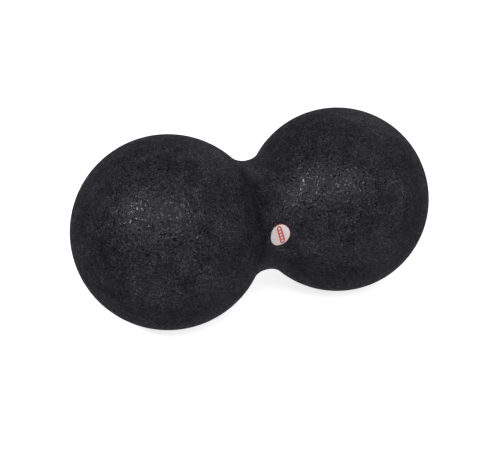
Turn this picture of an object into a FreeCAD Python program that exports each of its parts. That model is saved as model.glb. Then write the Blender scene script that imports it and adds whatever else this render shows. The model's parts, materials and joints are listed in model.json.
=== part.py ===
"""Double massage ball: two foam balls moulded as one body with a waist, and a round self-adhesive label.

Row frame in millimetres: the long axis lies along X, +Z is up and the label faces -Y.
The origin is on the surface that the balls rest on, under the middle of the waist.
"""

import FreeCAD, Part
import math
import os

import Sketcher
from FreeCAD import Vector

# Driving dimensions: alias, value in mm or degrees, note.
DRIVING_SIZES = [
    ("ball_dia", 120, "diameter of each ball"),
    ("ball_pitch", 120, "distance between the centres of the two balls"),
    ("waist_fillet", 25, "radius of the groove between the balls, in the plane of the long axis"),
    ("label_dia", 14, "diameter of the round label"),
    ("label_thick", 0.3, "thickness of the label's film"),
    ("label_shift", -1.5, "how far along X the label lies from the middle of the waist"),
    ("blank_half_length", 14, "half the length along X of the film that the label is cut from"),
    ("blank_angle", 60, "degrees round the waist that the film covers before it is cut round"),
    ("waste_dia", 60, "outer diameter of what is cut away round the label"),
]

# How far the groove's centre lies from the long axis, so that its arc touches both balls.
GROOVE_CENTRE = "sqrt((Sizes.ball_dia / 2 + Sizes.waist_fillet) ^ 2 - (Sizes.ball_pitch / 2) ^ 2)"

# Sketcher's names for the points of a curve, and for the sketch's own axes.
START, END, CENTRE = 1, 2, 3
HORIZONTAL_AXIS, VERTICAL_AXIS = -1, -2


def make_sheet(doc):
    """Puts the driving dimensions in a spreadsheet, one named row each, and returns it."""
    sheet = doc.addObject("Spreadsheet::Sheet", "Sizes")
    for row, (alias, value, note) in enumerate(DRIVING_SIZES, start=1):
        sheet.set(f"A{row}", note)
        sheet.set(f"B{row}", str(value))
        sheet.setAlias(f"B{row}", alias)
    doc.recompute()
    return sheet


def new_body(doc, label):
    """A PartDesign body, raised so that the balls rest on Z = 0. Its Label names its file."""
    body = doc.addObject("PartDesign::Body", label)
    body.Label = label
    body.setExpression("Placement.Base.z", "Sizes.ball_dia / 2")
    return body


def new_sketch(body, name, role):
    """A sketch of the body, flat on the body's own origin plane with that role."""
    plane = next(f for f in body.Origin.OriginFeatures if f.Role == role)
    sketch = body.newObject("Sketcher::SketchObject", name)
    sketch.AttachmentSupport = [(plane, "")]
    sketch.MapMode = "FlatFace"
    return sketch


def relate(sketch, kind, *elements):
    """Adds a geometric constraint, such as Coincident or Tangent."""
    sketch.addConstraint(Sketcher.Constraint(kind, *elements))


def dimension(sketch, formula, value, kind, *elements):
    """Adds a dimension that starts at value and follows the formula on the spreadsheet's cells."""
    index = sketch.addConstraint(Sketcher.Constraint(kind, *elements, value))
    sketch.setExpression(f"Constraints[{index}]", formula)


def circle(centre, radius):
    """A full circle in the sketch's plane."""
    return Part.Circle(Vector(*centre, 0), Vector(0, 0, 1), radius)


def arc(centre, radius, start_angle, end_angle):
    """An arc in the sketch's plane, anticlockwise between the two angles in radians."""
    return Part.ArcOfCircle(circle(centre, radius), start_angle, end_angle)


def line(start, end):
    """A straight edge in the sketch's plane."""
    return Part.LineSegment(Vector(*start, 0), Vector(*end, 0))


def groove_centre(sheet):
    """The value of GROOVE_CENTRE, where the sketches start from."""
    reach = sheet.ball_dia / 2 + sheet.waist_fillet
    return math.sqrt(reach**2 - (sheet.ball_pitch / 2) ** 2)


def make_foam_body(doc, sheet):
    """Both balls and the waist between them: one half-profile turned once round the long axis."""
    body = new_body(doc, "foam_body")
    sketch = new_sketch(body, "body_profile", "XZ_Plane")
    ball_radius, half_pitch = sheet.ball_dia / 2, sheet.ball_pitch / 2
    centre_height = groove_centre(sheet)
    lean = math.atan2(centre_height, half_pitch)
    left = sketch.addGeometry(arc((-half_pitch, 0), ball_radius, lean, math.pi))
    groove = sketch.addGeometry(
        arc((0, centre_height), sheet.waist_fillet, math.pi + lean, 2 * math.pi - lean)
    )
    right = sketch.addGeometry(arc((half_pitch, 0), ball_radius, 0, math.pi - lean))
    pole = half_pitch + ball_radius
    axis = sketch.addGeometry(line((-pole, 0), (pole, 0)))

    relate(sketch, "Coincident", axis, START, left, END)
    relate(sketch, "Coincident", axis, END, right, START)
    relate(sketch, "Tangent", left, START, groove, START)
    relate(sketch, "Tangent", groove, END, right, END)
    relate(sketch, "PointOnObject", left, CENTRE, HORIZONTAL_AXIS)
    relate(sketch, "PointOnObject", right, CENTRE, HORIZONTAL_AXIS)
    relate(sketch, "PointOnObject", groove, CENTRE, VERTICAL_AXIS)
    relate(sketch, "PointOnObject", left, END, HORIZONTAL_AXIS)
    relate(sketch, "PointOnObject", right, START, HORIZONTAL_AXIS)
    relate(sketch, "Equal", left, right)
    dimension(sketch, "Sizes.ball_dia / 2", ball_radius, "Radius", right)
    dimension(sketch, "Sizes.waist_fillet", sheet.waist_fillet, "Radius", groove)
    dimension(
        sketch, "Sizes.ball_pitch / 2", half_pitch, "DistanceX", HORIZONTAL_AXIS, START, right, CENTRE
    )

    turned = body.newObject("PartDesign::Revolution", "turned_body")
    turned.Profile = sketch
    turned.ReferenceAxis = (sketch, ["H_Axis"])
    turned.Angle = 360
    return body


def make_label(doc, sheet):
    """The label: film that follows the groove's arc, turned part of the way round the waist and cut round."""
    body = new_body(doc, "label")
    strip = new_sketch(body, "label_strip", "XY_Plane")
    centre_depth = -groove_centre(sheet)
    half_length = sheet.blank_half_length
    inner, outer = sheet.waist_fillet, sheet.waist_fillet - sheet.label_thick
    swing_inner = math.asin(half_length / inner)
    swing_outer = math.asin(half_length / outer)
    ahead = math.pi / 2
    under = strip.addGeometry(arc((0, centre_depth), inner, ahead - swing_inner, ahead + swing_inner))
    over = strip.addGeometry(arc((0, centre_depth), outer, ahead - swing_outer, ahead + swing_outer))
    ends = []
    for side in (1, -1):
        foot = (side * half_length, centre_depth + inner * math.cos(swing_inner))
        tip = (side * half_length, centre_depth + outer * math.cos(swing_outer))
        ends.append(strip.addGeometry(line(foot, tip)))
    right, left = ends

    relate(strip, "Coincident", right, START, under, START)
    relate(strip, "Coincident", right, END, over, START)
    relate(strip, "Coincident", left, START, under, END)
    relate(strip, "Coincident", left, END, over, END)
    relate(strip, "Vertical", right)
    relate(strip, "Vertical", left)
    relate(strip, "Coincident", under, CENTRE, over, CENTRE)
    relate(strip, "PointOnObject", under, CENTRE, VERTICAL_AXIS)
    dimension(strip, GROOVE_CENTRE, -centre_depth, "DistanceY", under, CENTRE, HORIZONTAL_AXIS, START)
    dimension(strip, "Sizes.waist_fillet", inner, "Radius", under)
    dimension(strip, "Sizes.waist_fillet - Sizes.label_thick", outer, "Radius", over)
    origin = (HORIZONTAL_AXIS, START)
    dimension(strip, "Sizes.blank_half_length", half_length, "DistanceX", *origin, right, START)
    dimension(strip, "Sizes.blank_half_length", half_length, "DistanceX", left, START, *origin)

    blank = body.newObject("PartDesign::Revolution", "label_blank")
    blank.Profile = strip
    blank.ReferenceAxis = (strip, ["H_Axis"])
    blank.Midplane = True
    blank.setExpression("Angle", "Sizes.blank_angle")
    doc.recompute()
    blank_volume = blank.Shape.Volume

    ring = new_sketch(body, "label_outline", "XZ_Plane")
    middle = (sheet.label_shift, 0)
    edge = ring.addGeometry(circle(middle, sheet.label_dia / 2))
    waste = ring.addGeometry(circle(middle, sheet.waste_dia / 2))
    relate(ring, "Coincident", edge, CENTRE, waste, CENTRE)
    relate(ring, "PointOnObject", edge, CENTRE, HORIZONTAL_AXIS)
    dimension(ring, "Sizes.label_dia / 2", sheet.label_dia / 2, "Radius", edge)
    dimension(ring, "Sizes.waste_dia / 2", sheet.waste_dia / 2, "Radius", waste)
    dimension(ring, "Sizes.label_shift", sheet.label_shift, "DistanceX", HORIZONTAL_AXIS, START, edge, CENTRE)

    trim = body.newObject("PartDesign::Pocket", "label_trim")
    trim.Profile = ring
    trim.Type = "ThroughAll"
    trim.SideType = "Symmetric"
    doc.recompute()
    if not trim.Shape.Volume < blank_volume / 2:
        raise RuntimeError("the label's outline cut nothing from its blank")
    return body


def check(doc, bodies):
    """Stops the build if an object failed, or a piece isn't one valid closed solid."""
    for item in doc.Objects:
        if "Invalid" in item.State or "Error" in item.State:
            raise RuntimeError(f"{item.Label} failed: {item.State}")
        if item.TypeId == "Sketcher::SketchObject" and not item.FullyConstrained:
            raise RuntimeError(f"{item.Label} has a size or place that nothing sets")
    for body in bodies:
        shape = body.Shape
        if shape.isNull() or not shape.isValid() or len(shape.Solids) != 1:
            raise RuntimeError(f"{body.Label} is not one valid solid")


def main():
    doc = FreeCAD.newDocument("DoubleMassageBall")
    sheet = make_sheet(doc)
    bodies = [make_foam_body(doc, sheet), make_label(doc, sheet)]
    doc.recompute()
    check(doc, bodies)
    os.makedirs("parts", exist_ok=True)
    for body in bodies:
        body.Shape.exportStep(f"parts/{body.Label}.step")
        print(f"{body.Label}: volume {body.Shape.Volume:.1f} mm3")


main()
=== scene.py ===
"""Looks of the double massage ball: its bead-foam skin and its round label.
It lies on a pale floor in soft studio light.

Lengths are in metres, in the row frame: the long axis lies along X, +Z is up and the label faces -Y.
"""

import json
import math

import bmesh
import bpy
import numpy as np
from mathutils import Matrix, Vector, noise
from mathutils.geometry import delaunay_2d_cdt


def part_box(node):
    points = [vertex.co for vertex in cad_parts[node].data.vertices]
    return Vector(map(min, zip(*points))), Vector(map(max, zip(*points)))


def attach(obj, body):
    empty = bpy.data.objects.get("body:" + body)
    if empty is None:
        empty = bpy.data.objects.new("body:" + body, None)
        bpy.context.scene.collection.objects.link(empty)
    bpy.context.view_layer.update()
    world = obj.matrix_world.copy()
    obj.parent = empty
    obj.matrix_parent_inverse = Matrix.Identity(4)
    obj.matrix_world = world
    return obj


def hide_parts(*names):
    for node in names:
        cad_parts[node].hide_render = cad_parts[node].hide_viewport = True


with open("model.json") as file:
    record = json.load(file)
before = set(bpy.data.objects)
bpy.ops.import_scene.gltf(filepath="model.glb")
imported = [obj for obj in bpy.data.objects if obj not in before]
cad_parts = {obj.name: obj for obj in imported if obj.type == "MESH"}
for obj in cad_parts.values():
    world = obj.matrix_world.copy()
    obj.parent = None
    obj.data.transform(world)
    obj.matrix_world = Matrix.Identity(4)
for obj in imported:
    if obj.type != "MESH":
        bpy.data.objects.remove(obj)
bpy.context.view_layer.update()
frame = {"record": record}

MM = 0.001

SEED = 12

# How finely the body's outline is tabulated.
PROFILE_STEPS = 6000
LEAST_RADIUS = 1e-9          # stands in for the radius at a pole, which is 0

# Foam beads. The moulded skin is a net of thin welds, and each bead's face sinks a little between them.
BEAD_GAP = 2.25 * MM         # least distance between the middles of two beads
BEAD_TRIES = 260000          # how often a place for one more bead is tried
SHORTEST_WELD = 0.3 * MM     # shorter welds close up to a point
WELD_WIDTH = 0.55 * MM       # from the crest of a weld to the flat of the bead
LEAST_FLAT = 0.3             # in a small cell the flat still reaches this share of the way to the weld
BEAD_SINK = (0.08 * MM, 0.24 * MM)
EDGE_SINK = 0.8              # how deep the edge of the flat lies, as a share of how deep its middle lies
BEAD_TILT = 0.035            # the usual slope of a bead's flat
WELD_DROP = 0.04 * MM        # a corner of the net lies at most this deep

# How pale the parts of the foam are, from 0, as dark as FOAM_DARK, to 1, as pale as FOAM_PALE.
FOAM_DARK = (0.0017, 0.0012, 0.0034)
FOAM_PALE = (0.0785, 0.0765, 0.088)
BEAD_TONES = (0.0, 0.1)
# Painted light: the raised welds of the net are drawn paler, as if their crests caught the light, and the
# sunken bead faces between them stay dark.
WELD_PAINTED_LIGHT = 0.7
WELD_RANGE = (0.0, 1.0)      # from a corner of the net with no painted light to one with its full painted light
WELD_FOCUS = 2.0             # higher makes the painted light along a weld thinner
THREAD_SIZE = 2.2 * MM
THREAD_WIDTH = 0.05          # in units of the noise that they follow
THREAD_PALENESS = 0.2
SPECK_SIZE = 0.8 * MM
SPECK_RANGE = (0.535, 0.68)
SPECK_PALENESS = 1.0
CLOUD_SIZE = 9 * MM
CLOUD_RANGE = (0.3, 0.7)
CLOUD_TONES = (0.35, 1.0)    # the share of the paleness that is left in a cloud, and outside one

# The skin's gloss: matte nearly all over, with small scattered spots that are glossy.
FOAM_SPECULAR = 0.18
FOAM_ROUGHNESS = (0.5, 0.2)  # of the matte skin and of a glossy spot
SHINE_SIZE = 1.7 * MM
SHINE_RANGE = (0.55, 0.6)

# The skin's bump. Its three heights are plain numbers of millimetres.
DIMPLE_SIZE = 1.9 * MM
DIMPLE_DEPTH = 0.22
GRAIN_SIZE = 0.6 * MM
GRAIN_DEPTH = 0.03
THREAD_HEIGHT = 0.05

# Camera: how it looks at the middle of the waist.
CAMERA_AZIMUTH = math.radians(-27.44)
CAMERA_ELEVATION = math.radians(22.5)
CAMERA_DISTANCE = 772 * MM
CAMERA_ASIDE = 3.3 * MM      # how far right of the aim the middle of the waist lies
CAMERA_ABOVE = 6.25 * MM     # and how far above it
CAMERA_LENS = 87.7           # like the sensor's width, a plain number of millimetres
CAMERA_SENSOR = 36

WAIST_MOUNT = "waist_groove"

# Label: a film with a printed rim, and a printed bar that has a row of dots left out of it.
LABEL_SIDES = 96
LABEL_ANGLES = np.linspace(0, 2 * math.pi, LABEL_SIDES, endpoint=False)
FILM_RISE = 0.3 * MM
FILM_ROUND = 0.15 * MM
FILM_RINGS = 10
EDGE_POINTS = 5              # in the film's rounded edge
FILM_WAVE = 0.04 * MM
FILM_WAVE_SIZE = 2.2 * MM
INK_RISE = 0.03 * MM
RIM_WIDTH = 0.2 * MM         # on the flat top of the film, before its unevenness
RIM_UNEVEN = 0.9
RIM_WIDE_SIDE = math.radians(65)
RIM_GAP_SIDE = math.radians(170)
RIM_GAP_HALF = math.radians(45)
RIM_GAP_EASE = 0.125         # half the angle over which the rim rises out of its gap, in radians
BAR_LENGTH = 12.0 * MM
BAR_WIDTH = 3.5 * MM
BAR_LEAN = 17                # degrees, its top towards -X
BAR_ASIDE = 0.6 * MM
DOT_COUNT = 5
DOT_PITCH = 2.15 * MM
DOT_WIDTH = 1.55 * MM
BAR_END_POINTS = 13
BAR_SIDE_POINTS = 9
DOT_POINTS = 16
DOUBLE_DISTANCE = 0.001 * MM

# The label's materials: satin film that has greyed a little, and ink that took unevenly.
FILM_COOL = (0.72, 0.69, 0.67)
FILM_WARM = (0.705, 0.63, 0.61)
RED_FULL = (0.72, 0.055, 0.020)
RED_THIN = (0.72, 0.14, 0.09)
DARK_RED_FULL = (0.22, 0.012, 0.012)
DARK_RED_THIN = (0.34, 0.04, 0.035)
FILM_CLOUD_SIZE = 4 * MM
FILM_CLOUD_RANGE = (0.35, 0.65)
FILM_SMUDGE_SIZE = 1.2 * MM
FILM_ROUGHNESS = (0.38, 0.5)
FILM_GRAIN_SIZE = 0.9 * MM
INK_PATCH_SIZE = 0.5 * MM
INK_PATCH_RANGE = (0.4, 0.75)
INK_SMUDGE_SIZE = 0.8 * MM
INK_ROUGHNESS = (0.35, 0.5)
INK_GRAIN_SIZE = 0.4 * MM
SMUDGE_RANGE = (0.3, 0.7)
LABEL_GRAIN = 0.02 * MM

# Light and floor.
WHITE = (1, 1, 1)
LIGHT_TINT = (0.975, 0.97, 1.0)
DIM_LIGHT = 0.215
FLOOR_HALF = 6
FLOOR_GREY = (0.9, 0.9, 0.9)
FLOOR_ROUGHNESS = 0.9
FLOOR_GLOW = 0.8
SOFTBOX_SIZE = 0.45
SOFTBOX_DISTANCE = 1.2
SPARK_SIZE = 0.15
BOUNCE_SIZE = 0.7


class Profile:
    """The outline that the body is turned from: two balls, and a groove arc that touches both."""

    def __init__(self):
        _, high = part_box("foam_body")
        mounts = {m["name"]: m for m in frame["record"]["mounts"]}
        self.ball = high.z / 2
        self.half_pitch = high.x - self.ball
        self.waist = mounts[WAIST_MOUNT]["dims"]["r_mm"] * MM
        spread = self.half_pitch**2 + self.waist**2 - self.ball**2
        self.groove = spread / (2 * (self.ball - self.waist))
        self.groove_centre = self.waist + self.groove
        self.lean = math.atan2(self.half_pitch, self.groove_centre)
        self.tabulate()

    def tabulate(self):
        """Tables from the waist to the pole: x, radius, area so far, and distance so far on the map that
        flatten() uses, where a step counts as its length over the radius."""
        in_groove = np.linspace(0, self.lean, PROFILE_STEPS, endpoint=False)
        on_ball = np.linspace(math.pi / 2 + self.lean, 0, PROFILE_STEPS * 2)
        self.x = np.concatenate(
            [self.groove * np.sin(in_groove), self.half_pitch + self.ball * np.cos(on_ball)]
        )
        self.radius = np.concatenate(
            [self.groove_centre - self.groove * np.cos(in_groove), self.ball * np.sin(on_ball)]
        )
        step = np.hypot(np.diff(self.x), np.diff(self.radius))
        middle = (self.radius[1:] + self.radius[:-1]) / 2
        self.area = np.concatenate([[0], np.cumsum(2 * math.pi * middle * step)])
        self.conformal = np.concatenate([[0], np.cumsum(step / middle)])

    def at_area(self, share, angle):
        """Points on the surface: share runs from -1 at one pole to 1 at the other, evenly by area."""
        along = np.abs(share) * self.area[-1]
        x = np.sign(share) * np.interp(along, self.area, self.x)
        radius = np.interp(along, self.area, self.radius)
        return np.stack([x, radius * np.sin(angle), self.ball + radius * np.cos(angle)], axis=-1)

    def flatten(self, points):
        """Where points of the surface go on a plane that keeps all small shapes: one pole is its origin."""
        angle = np.arctan2(points[:, 1], points[:, 2] - self.ball)
        distance = np.sign(points[:, 0]) * np.interp(np.abs(points[:, 0]), self.x, self.conformal)
        return np.exp(-distance)[:, None] * np.stack([np.cos(angle), np.sin(angle)], axis=-1)

    def project(self, points, rise):
        """The nearest points of the surface, moved outwards by rise."""
        across = points[:, 1:] - np.array([0, self.ball])
        radius = np.linalg.norm(across, axis=1)
        outward = across / np.maximum(radius, LEAST_RADIUS)[:, None]
        x, side = np.abs(points[:, 0]), np.sign(points[:, 0])
        swing = np.arctan2(x, self.groove_centre - radius)
        in_groove = (radius < self.groove_centre) & (swing < self.lean)
        groove_normal = np.stack([-np.sin(swing), np.cos(swing)], axis=-1)
        from_ball = np.stack([x - self.half_pitch, radius], axis=-1)
        ball_normal = from_ball / np.linalg.norm(from_ball, axis=1)[:, None]
        on_groove = np.array([0, self.groove_centre]) - groove_normal * self.groove
        on_ball = np.array([self.half_pitch, 0]) + ball_normal * self.ball
        normal = np.where(in_groove[:, None], groove_normal, ball_normal)
        place = np.where(in_groove[:, None], on_groove, on_ball) + normal * np.reshape(rise, (-1, 1))
        return np.column_stack([side * place[:, 0], outward * place[:, 1:]]) + np.array([0, 0, self.ball])

    def in_front(self, x, up):
        """Points of the surface that face -Y: x along the body, and up from the height of its axis."""
        radius = np.interp(np.abs(x), self.x, self.radius)
        return np.column_stack([x, -np.sqrt(radius**2 - up**2), self.ball + up])


def scatter_beads(profile, rng):
    """Middles of the beads: random places, none nearer than BEAD_GAP to another, with one at each pole."""
    tries = profile.at_area(rng.uniform(-1, 1, BEAD_TRIES), rng.uniform(0, 2 * math.pi, BEAD_TRIES))
    poles = profile.at_area(np.array([1.0, -1.0]), np.zeros(2))
    grid, kept = {}, []
    around = [(i, j, k) for i in (-1, 0, 1) for j in (-1, 0, 1) for k in (-1, 0, 1)]
    for point in np.concatenate([poles, tries]).tolist():
        cell = tuple(int(c // BEAD_GAP) for c in point)
        near = (grid.get((cell[0] + i, cell[1] + j, cell[2] + k), ()) for i, j, k in around)
        if all(math.dist(point, other) >= BEAD_GAP for group in near for other in group):
            grid.setdefault(cell, []).append(point)
            kept.append(point)
    return np.array(kept)


def triangulate(profile, beads):
    """Triangles between neighbouring beads, all clockwise as seen from outside.
    Bead 1 is the pole that flatten() can't place, so it is joined to the border of all the others."""
    flat = np.delete(profile.flatten(beads), 1, axis=0)
    names = np.delete(np.arange(len(beads)), 1)
    made = delaunay_2d_cdt([Vector(p) for p in flat.tolist()], [], [], 0, 0.0, True)
    origin = [names[ids[0]] for ids in made[3]]
    triangles = [tuple(origin[v] for v in face) for face in made[2]]
    directed = {(t[i], t[i - 2]) for t in triangles for i in range(3)}
    triangles += [(b, a, 1) for a, b in directed if (b, a) not in directed]
    return triangles


def circumcentres(points, triangles):
    """The middle of the circle through each triangle's corners."""
    a, b, c = (points[np.array(triangles)[:, i]] for i in range(3))
    u, v = b - a, c - a
    normal = np.cross(u, v)
    uu, vv = (u * u).sum(1)[:, None], (v * v).sum(1)[:, None]
    return a + (np.cross(normal, u) * vv + np.cross(v, normal) * uu) / (2 * (normal**2).sum(1)[:, None])


def rings_round(triangles, count):
    """For each bead, the triangles round it, clockwise as seen from outside."""
    owner = {(t[i], t[i - 2]): (n, t[i - 1]) for n, t in enumerate(triangles) for i in range(3)}
    first = {}
    for a, b in owner:
        first.setdefault(a, b)
    rings = []
    for bead in range(count):
        ring, b = [], first[bead]
        while True:
            n, b = owner[bead, b]
            ring.append(n)
            if b == first[bead]:
                break
        rings.append(ring)
    return rings


def close_short_welds(corners, rings):
    """Joins corners of the net that lie closer than SHORTEST_WELD, and returns the new corners and rings."""
    leader = np.arange(len(corners))

    def find(n):
        """The corner that stands for all those joined to corner n."""
        while leader[n] != n:
            n = leader[n]
        return n

    for ring in rings:
        for a, b in zip(ring, ring[1:] + ring[:1]):
            if np.linalg.norm(corners[a] - corners[b]) < SHORTEST_WELD:
                leader[find(a)] = find(b)
    groups = np.array([find(n) for n in range(len(corners))])
    _, index = np.unique(groups, return_inverse=True)
    merged = np.stack(
        [np.bincount(index, corners[:, axis]) / np.bincount(index) for axis in range(3)], axis=-1
    )
    short = [[index[n] for n in ring] for ring in rings]
    return merged, [[n for i, n in enumerate(ring) if n != ring[i - 1]] for ring in short]


def sunken_face(profile, edge, rng):
    """The bead in one cell of the net: a corner of its flat for each corner of the edge, and its middle."""
    middle = edge.mean(axis=0)
    reach = edge - middle
    length = np.linalg.norm(reach, axis=1)
    flat = middle + reach * np.maximum(LEAST_FLAT, 1 - WELD_WIDTH / length)[:, None]
    sink = rng.uniform(*BEAD_SINK)
    tilt = rng.normal(0, BEAD_TILT, 3)
    cell = np.concatenate([flat, [middle]])
    drop = sink - (cell - middle) @ tilt
    drop[:-1] *= EDGE_SINK
    return profile.project(cell, -np.maximum(drop, 0.0))


def add_values(mesh, name, domain, values):
    """Gives each point or face of the mesh a number that its material can read."""
    layer = mesh.attributes.new(name, "FLOAT", domain)
    layer.data.foreach_set("value", np.array(values, np.float32))


def foam_skin(profile, rng):
    """The skin of the moulding as one closed mesh: a net of welds, and in each of its cells a sunken bead."""
    beads = scatter_beads(profile, rng)
    triangles = triangulate(profile, beads)
    corners, rings = close_short_welds(circumcentres(beads, triangles), rings_round(triangles, len(beads)))
    crest = profile.project(corners, -rng.uniform(0, WELD_DROP, len(corners)))
    points, faces, tones = [crest], [], []
    start = len(crest)
    for ring in rings:
        points.append(sunken_face(profile, crest[ring], rng))
        count = len(ring)
        for i in range(count):
            j = (i + 1) % count
            faces.append((ring[i], start + i, start + j, ring[j]))
            faces.append((start + j, start + i, start + count))
        tones += [rng.uniform()] * (2 * count)
        start += count + 1
    mesh = bpy.data.meshes.new("foam_skin")
    mesh.from_pydata(np.concatenate(points).tolist(), [], faces)
    # Painted light on the net: each corner of a crest gets a random share of it, and the sunken faces get
    # none.
    crest_painted_light = rng.uniform(*WELD_RANGE, len(crest))
    flat_painted_light = np.zeros(start - len(crest))
    add_values(mesh, "weld", "POINT", np.concatenate([crest_painted_light, flat_painted_light]))
    add_values(mesh, "bead_tone", "FACE", tones)
    mesh.shade_smooth()
    return mesh


class Finish:
    """A new material: a Principled shader, and short ways to add the nodes that feed it."""

    def __init__(self, name):
        self.material = bpy.data.materials.new(name)
        self.material.use_nodes = True
        self.tree = self.material.node_tree
        self.tree.nodes.clear()
        self.shader = self.tree.nodes.new("ShaderNodeBsdfPrincipled")
        output = self.tree.nodes.new("ShaderNodeOutputMaterial")
        self.tree.links.new(self.shader.outputs[0], output.inputs["Surface"])
        self.place = self.tree.nodes.new("ShaderNodeTexCoord").outputs["Object"]

    def add(self, kind, values, settings=()):
        """Adds a node. Each value goes to the input of its name or number, as a link or as a plain value."""
        node = self.tree.nodes.new(kind)
        for key, setting in dict(settings).items():
            setattr(node, key, setting)
        for key, value in values.items():
            self.feed(node.inputs[key], value)
        return node.outputs

    def feed(self, socket, value):
        """Gives the socket a link, or a plain value."""
        if isinstance(value, bpy.types.NodeSocket):
            self.tree.links.new(value, socket)
        else:
            socket.default_value = value

    def shade(self, **values):
        """Feeds the shader's inputs. A space in an input's name is given as _."""
        for name, value in values.items():
            self.feed(self.shader.inputs[name.replace("_", " ")], value)

    def attribute(self, name):
        """The number that the mesh holds for each point or face."""
        return self.add("ShaderNodeAttribute", {}, {"attribute_name": name})["Fac"]

    def noise(self, size, detail=1.0, roughness=0.5):
        """Soft noise from 0 to 1, with blobs about as wide as size."""
        values = {"Vector": self.place, "Scale": 1 / size, "Detail": detail, "Roughness": roughness}
        return self.add("ShaderNodeTexNoise", values)["Fac"]

    def math(self, operation, *numbers):
        """One step of arithmetic on links and plain numbers."""
        return self.add("ShaderNodeMath", dict(enumerate(numbers)), {"operation": operation})[0]

    def remap(self, value, low, high, to_low=0.0, to_high=1.0):
        """Stretches low to high into to_low to to_high, and cuts off what lies beyond."""
        names = ("Value", "From Min", "From Max", "To Min", "To Max")
        return self.add("ShaderNodeMapRange", dict(zip(names, (value, low, high, to_low, to_high))))[0]

    def threads(self, size, width):
        """Thin winding lines where noise passes through its middle value: 1 on a line and 0 away from it."""
        off_line = self.math("ABSOLUTE", self.math("SUBTRACT", self.noise(size), 0.5))
        return self.remap(off_line, 0.0, width, 1.0, 0.0)

    def mix(self, share, first, second):
        """A colour between two: the first where share is 0, the second where it is 1."""
        values = {"Factor": share, 6: (*first, 1), 7: (*second, 1)}
        return self.add("ShaderNodeMix", values, {"data_type": "RGBA"})[2]

    def bump(self, height, depth):
        """A surface direction for the shader, from a height that counts in units of depth."""
        return self.add("ShaderNodeBump", {"Height": height, "Distance": depth, "Strength": 1.0})["Normal"]


def foam_material():
    """Charcoal beads, each of its own tone, in a net of welds with painted light on their raised crests, and
    with pale threads and specks. Soft clouds darken it here and there, and small spots of it are glossy."""
    foam = Finish("bead_foam")
    # Painted light: the welds' crests are drawn paler. It is added to the real threads and specks, and goes
    # on into pale.
    weld = foam.math("POWER", foam.attribute("weld"), WELD_FOCUS)
    bead = foam.remap(foam.attribute("bead_tone"), 0.0, 1.0, *BEAD_TONES)
    threads = foam.threads(THREAD_SIZE, THREAD_WIDTH)
    specks = foam.remap(foam.noise(SPECK_SIZE, detail=2.0, roughness=0.6), *SPECK_RANGE)
    clouds = foam.remap(foam.noise(CLOUD_SIZE, detail=2.0), *CLOUD_RANGE, *CLOUD_TONES)
    specks_and_weld_light = foam.math("MULTIPLY", weld, WELD_PAINTED_LIGHT)
    specks_and_weld_light = foam.math("MAXIMUM", specks_and_weld_light, foam.math("MULTIPLY", threads, THREAD_PALENESS))
    specks_and_weld_light = foam.math("MAXIMUM", specks_and_weld_light, foam.math("MULTIPLY", specks, SPECK_PALENESS))
    pale = foam.math("MULTIPLY", foam.math("ADD", specks_and_weld_light, bead), clouds)
    shine = foam.remap(foam.noise(SHINE_SIZE), *SHINE_RANGE)
    dimples = foam.math("MULTIPLY", foam.noise(DIMPLE_SIZE, detail=0.0), DIMPLE_DEPTH)
    grain = foam.math("MULTIPLY", foam.noise(GRAIN_SIZE, detail=2.0), GRAIN_DEPTH)
    grain = foam.math("ADD", grain, foam.math("MULTIPLY", threads, THREAD_HEIGHT))
    foam.shade(
        Base_Color=foam.mix(pale, FOAM_DARK, FOAM_PALE),
        Roughness=foam.remap(shine, 0.0, 1.0, *FOAM_ROUGHNESS),
        Specular_IOR_Level=FOAM_SPECULAR,
        Normal=foam.bump(foam.math("ADD", dimples, grain), MM),
    )
    return foam.material


def film_material():
    """White film that has greyed a little, with faint warmer clouds and a satin face."""
    film = Finish("label_film")
    clouds = film.remap(film.noise(FILM_CLOUD_SIZE, detail=2.0), *FILM_CLOUD_RANGE)
    smudges = film.noise(FILM_SMUDGE_SIZE, detail=2.0)
    film.shade(
        Base_Color=film.mix(clouds, FILM_COOL, FILM_WARM),
        Roughness=film.remap(smudges, *SMUDGE_RANGE, *FILM_ROUGHNESS),
        Normal=film.bump(film.noise(FILM_GRAIN_SIZE, detail=2.0), LABEL_GRAIN),
    )
    return film.material


def ink_material(name, full, thin):
    """Printed ink: full in most places, and thinner where it took badly."""
    ink = Finish(name)
    thinned = ink.remap(ink.noise(INK_PATCH_SIZE, detail=3.0, roughness=0.6), *INK_PATCH_RANGE)
    smudges = ink.noise(INK_SMUDGE_SIZE, detail=2.0)
    ink.shade(
        Base_Color=ink.mix(thinned, full, thin),
        Roughness=ink.remap(smudges, *SMUDGE_RANGE, *INK_ROUGHNESS),
        Normal=ink.bump(ink.noise(INK_GRAIN_SIZE, detail=2.0), LABEL_GRAIN),
    )
    return ink.material


def new_piece(name, mesh, material):
    """A visible piece that rides on the one body and stands for that material slot."""
    piece = bpy.data.objects.new(name, mesh)
    bpy.context.scene.collection.objects.link(piece)
    mesh.materials.append(material)
    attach(piece, "root")
    return piece


class LabelPlace:
    """Where the label lies. Its flat points are given from its centre, as (across towards +X, up)."""

    def __init__(self, profile):
        low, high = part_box("label")
        self.profile = profile
        self.centre = (low.x + high.x) / 2
        self.reach = (high.z - low.z) / 2

    def lay(self, flat, rise):
        """Lays flat points on the foam, at a rise over its outer surface, in soft waves as over beads."""
        waves = np.array([noise.noise((*point, 0.0)) for point in (flat / FILM_WAVE_SIZE).tolist()])
        surface = self.profile.in_front(self.centre + flat[:, 0], flat[:, 1])
        return self.profile.project(surface, rise + FILM_WAVE * waves)


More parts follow.
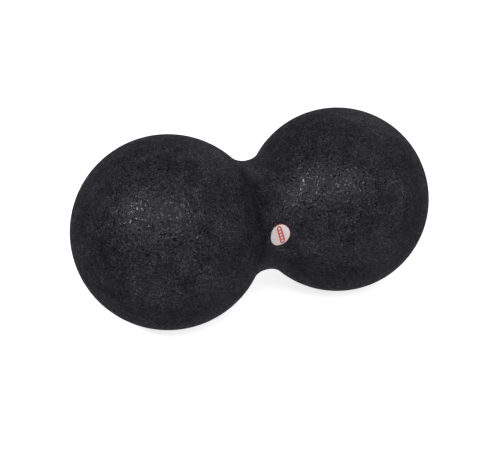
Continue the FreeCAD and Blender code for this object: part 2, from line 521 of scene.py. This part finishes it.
def closed_mesh(name, points, faces):
    """A mesh with its double points joined and its faces turned outwards."""
    mesh = bpy.data.meshes.new(name)
    mesh.from_pydata(points.tolist(), [], faces)
    solid = bmesh.new()
    solid.from_mesh(mesh)
    bmesh.ops.remove_doubles(solid, verts=solid.verts, dist=DOUBLE_DISTANCE)
    bmesh.ops.recalc_face_normals(solid, faces=solid.faces)
    solid.to_mesh(mesh)
    solid.free()
    mesh.shade_smooth()
    return mesh


def round_mesh(place, name, section):
    """A piece round the label's centre. Its section is a closed outline of (distance from the centre, rise).
    Each of the two is one number, or one for each of LABEL_ANGLES."""
    circle = np.column_stack([np.cos(LABEL_ANGLES), np.sin(LABEL_ANGLES)])
    flat = np.concatenate([circle * np.reshape(reach, (-1, 1)) for reach, _ in section])
    rise = np.concatenate([np.broadcast_to(height, LABEL_SIDES) for _, height in section])
    faces = []
    for k in range(len(section)):
        here, there = k * LABEL_SIDES, (k + 1) % len(section) * LABEL_SIDES
        for i in range(LABEL_SIDES):
            j = (i + 1) % LABEL_SIDES
            faces.append((here + i, there + i, there + j, here + j))
    return closed_mesh(name, place.lay(flat, rise), faces)


def rounded_edge(place, over):
    """The film's edge from its flat top to its upright side, or a line that runs a small distance over it."""
    reach, rise = place.reach - FILM_ROUND, FILM_RISE - FILM_ROUND
    radius = FILM_ROUND + over
    turn = np.radians(np.linspace(0, 90, EDGE_POINTS))
    return [(reach + radius * math.sin(a), rise + radius * math.cos(a)) for a in turn]


def film_mesh(place):
    """The film: its top is rounded off at the edge, and its underside lies in the foam."""
    steps = np.linspace(0, place.reach - FILM_ROUND, FILM_RINGS)
    top = [(reach, FILM_RISE) for reach in steps[:-1]]
    bottom = [(place.reach, -FILM_RISE)] + [(reach, -FILM_RISE) for reach in steps[::-1]]
    return round_mesh(place, "label_film", top + rounded_edge(place, 0.0) + bottom)


def rim_mesh(place):
    """The printed rim, which runs over the film's edge. The film was cut off centre, so the rim is wider on
    one side, and dives under the film where it is missing."""
    width = RIM_WIDTH * (1 + RIM_UNEVEN * np.cos(LABEL_ANGLES - RIM_WIDE_SIDE))
    inner_reach = place.reach - FILM_ROUND - width
    from_gap = np.arccos(np.cos(LABEL_ANGLES - RIM_GAP_SIDE)) - RIM_GAP_HALF
    over = INK_RISE * np.clip(from_gap / RIM_GAP_EASE, -1, 1)
    under = over - 2 * INK_RISE
    top = [(inner_reach, FILM_RISE + over)] + rounded_edge(place, over)
    bottom = [(inner_reach, FILM_RISE + under)] + rounded_edge(place, under)
    return round_mesh(place, "label_rim", top + bottom[::-1])


def bar_borders():
    """The outline of an upright bar with round ends, and those of the dots that are left out of it."""
    straight = (BAR_LENGTH - BAR_WIDTH) / 2
    turn = np.linspace(0, math.pi, BAR_END_POINTS)
    end = np.column_stack([np.cos(turn), np.sin(turn)]) * BAR_WIDTH / 2 + [0, straight]
    heights = np.linspace(straight, -straight, BAR_SIDE_POINTS + 2)[1:-1]
    side = np.column_stack([np.full(BAR_SIDE_POINTS, -BAR_WIDTH / 2), heights])
    half = np.concatenate([end, side])
    turn = np.linspace(0, 2 * math.pi, DOT_POINTS, endpoint=False)
    dot = np.column_stack([np.cos(turn), np.sin(turn)]) * DOT_WIDTH / 2
    rows = (np.arange(DOT_COUNT) - (DOT_COUNT - 1) / 2) * DOT_PITCH
    return [np.concatenate([half, -half])] + [dot + [0, row] for row in rows]


def inside(point, border):
    """Whether a flat point lies inside a closed border that bulges out all round, given anticlockwise."""
    turns = border - point
    cross = turns[:, 0] * np.roll(turns[:, 1], -1) - turns[:, 1] * np.roll(turns[:, 0], -1)
    return bool(np.all(cross > 0))


def bar_mesh(place):
    """The printed bar: a thin plate that follows the film."""
    borders = bar_borders()
    flat = [Vector(point) for point in np.concatenate(borders).tolist()]
    edges, start = [], 0
    for border in borders:
        count = len(border)
        edges += [(start + i, start + (i + 1) % count) for i in range(count)]
        start += count
    made = delaunay_2d_cdt(flat, edges, [], 0, DOUBLE_DISTANCE, False)
    flat, triangles = np.array([list(point) for point in made[0]]), made[2]
    middles = [flat[list(t)].mean(axis=0) for t in triangles]
    triangles = [
        list(t) for t, m in zip(triangles, middles)
        if inside(m, borders[0]) and not any(inside(m, dot) for dot in borders[1:])
    ]
    lean = math.radians(BAR_LEAN)
    turn = np.array([[math.cos(lean), math.sin(lean)], [-math.sin(lean), math.cos(lean)]])
    flat = flat @ turn + [BAR_ASIDE, 0]
    count = len(flat)
    layers = [place.lay(flat, np.full(count, FILM_RISE + rise)) for rise in (INK_RISE, -INK_RISE)]
    sides = {(t[i], t[i - 2]) for t in triangles for i in range(3)}
    walls = [(a, a + count, b + count, b) for a, b in sides if (b, a) not in sides]
    below = [[n + count for n in t[::-1]] for t in triangles]
    return closed_mesh("label_bar", np.concatenate(layers), triangles + below + walls)


def look_from(azimuth, elevation):
    """Unit vectors of a view: from the object towards the eye, to the right, and up."""
    towards = Vector((
        math.sin(azimuth) * math.cos(elevation),
        -math.cos(azimuth) * math.cos(elevation),
        math.sin(elevation),
    ))
    right = Vector((math.cos(azimuth), math.sin(azimuth), 0))
    return towards, right, towards.cross(right)


def make_camera(waist):
    """The camera, which sees the middle of the waist a little off the centre of the picture."""
    towards, right, up = look_from(CAMERA_AZIMUTH, CAMERA_ELEVATION)
    data = bpy.data.cameras.new("camera")
    data.lens = CAMERA_LENS
    data.sensor_width = CAMERA_SENSOR
    camera = bpy.data.objects.new("camera", data)
    bpy.context.scene.collection.objects.link(camera)
    camera.location = waist + towards * CAMERA_DISTANCE - right * CAMERA_ASIDE - up * CAMERA_ABOVE
    camera.rotation_mode = "QUATERNION"
    camera.rotation_quaternion = (-towards).to_track_quat("-Z", "Y")
    bpy.context.scene.camera = camera


def softbox(name, waist, aside, elevation, power, size=SOFTBOX_SIZE):
    """A square light that faces the waist, at aside degrees to the right of the camera. Power is in watts."""
    towards, _, _ = look_from(CAMERA_AZIMUTH + math.radians(aside), math.radians(elevation))
    data = bpy.data.lights.new(name, "AREA")
    data.shape = "SQUARE"
    data.size = size
    data.energy = power
    data.color = LIGHT_TINT
    light = bpy.data.objects.new(name, data)
    bpy.context.scene.collection.objects.link(light)
    light.visible_camera = False
    light.location = waist + towards * SOFTBOX_DISTANCE
    light.rotation_mode = "QUATERNION"
    light.rotation_quaternion = (-towards).to_track_quat("-Z", "Y")
    return light


def make_world():
    """White to the camera, and a dim even light on everything else."""
    world = bpy.data.worlds.new("studio")
    world.use_nodes = True
    nodes, links = world.node_tree.nodes, world.node_tree.links
    dim = nodes["Background"]
    dim.inputs["Color"].default_value = (*LIGHT_TINT, 1)
    dim.inputs["Strength"].default_value = DIM_LIGHT
    white = nodes.new("ShaderNodeBackground")
    white.inputs["Color"].default_value = (*WHITE, 1)
    choice = nodes.new("ShaderNodeMixShader")
    links.new(nodes.new("ShaderNodeLightPath").outputs["Is Camera Ray"], choice.inputs[0])
    links.new(dim.outputs[0], choice.inputs[1])
    links.new(white.outputs[0], choice.inputs[2])
    links.new(choice.outputs[0], nodes["World Output"].inputs["Surface"])
    return world


def make_floor():
    """A wide pale floor that glows a little, as a lit table does. It lights nothing back onto the foam, and
    lets the lights under it through, which stand in for that."""
    mesh = bpy.data.meshes.new("floor")
    corners = [(x * FLOOR_HALF, y * FLOOR_HALF, 0) for x, y in ((-1, -1), (1, -1), (1, 1), (-1, 1))]
    mesh.from_pydata(corners, [], [(0, 1, 2, 3)])
    pale = Finish("pale_floor")
    pale.shade(Base_Color=(*FLOOR_GREY, 1), Roughness=FLOOR_ROUGHNESS, Specular_IOR_Level=0.0)
    pale.shade(Emission_Color=(*WHITE, 1), Emission_Strength=FLOOR_GLOW)
    pale.material.cycles.emission_sampling = "NONE"
    mesh.materials.append(pale.material)
    floor = bpy.data.objects.new("floor", mesh)
    bpy.context.scene.collection.objects.link(floor)
    floor.visible_diffuse = False
    floor.visible_glossy = False
    floor.visible_shadow = False


def make_stage(waist):
    """The world, the floor and the lights, each at its degrees right of the camera and up, with its watts.
    The far-side light shows the foam's back and gives no glints."""
    bpy.context.scene.view_settings.view_transform = "Standard"
    bpy.context.scene.world = make_world()
    make_floor()
    softbox("key_light", waist, 10, 40, 7.0)
    softbox("spark_light", waist, -44, 36, 6.7, SPARK_SIZE)
    softbox("top_light", waist, 90, 55, 0.7)
    softbox("side_light", waist, 80, 8, 1.8)
    softbox("back_light", waist, 150, 35, 0.8, BOUNCE_SIZE)
    softbox("left_bounce", waist, -20, -40, 3.1, BOUNCE_SIZE)
    softbox("right_bounce", waist, 60, -40, 2.1, BOUNCE_SIZE)
    far_side = softbox("far_side_light", waist, 180, -10, 8, BOUNCE_SIZE)
    far_side.visible_glossy = False


profile = Profile()
waist = Vector((0, 0, profile.ball))
make_camera(waist)
make_stage(waist)
skin = new_piece("foam_skin", foam_skin(profile, np.random.default_rng(SEED)), foam_material())
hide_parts("foam_body")
place = LabelPlace(profile)
film = new_piece("label_film", film_mesh(place), film_material())
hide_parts("label")
rim_ink = ink_material("rim_ink", DARK_RED_FULL, DARK_RED_THIN)
rim = new_piece("label_rim", rim_mesh(place), rim_ink)
bar_ink = ink_material("bar_ink", RED_FULL, RED_THIN)
bar = new_piece("label_bar", bar_mesh(place), bar_ink)

# The glossy spots of the foam don't mirror the label.
for piece in (film, rim, bar):
    piece.visible_glossy = False
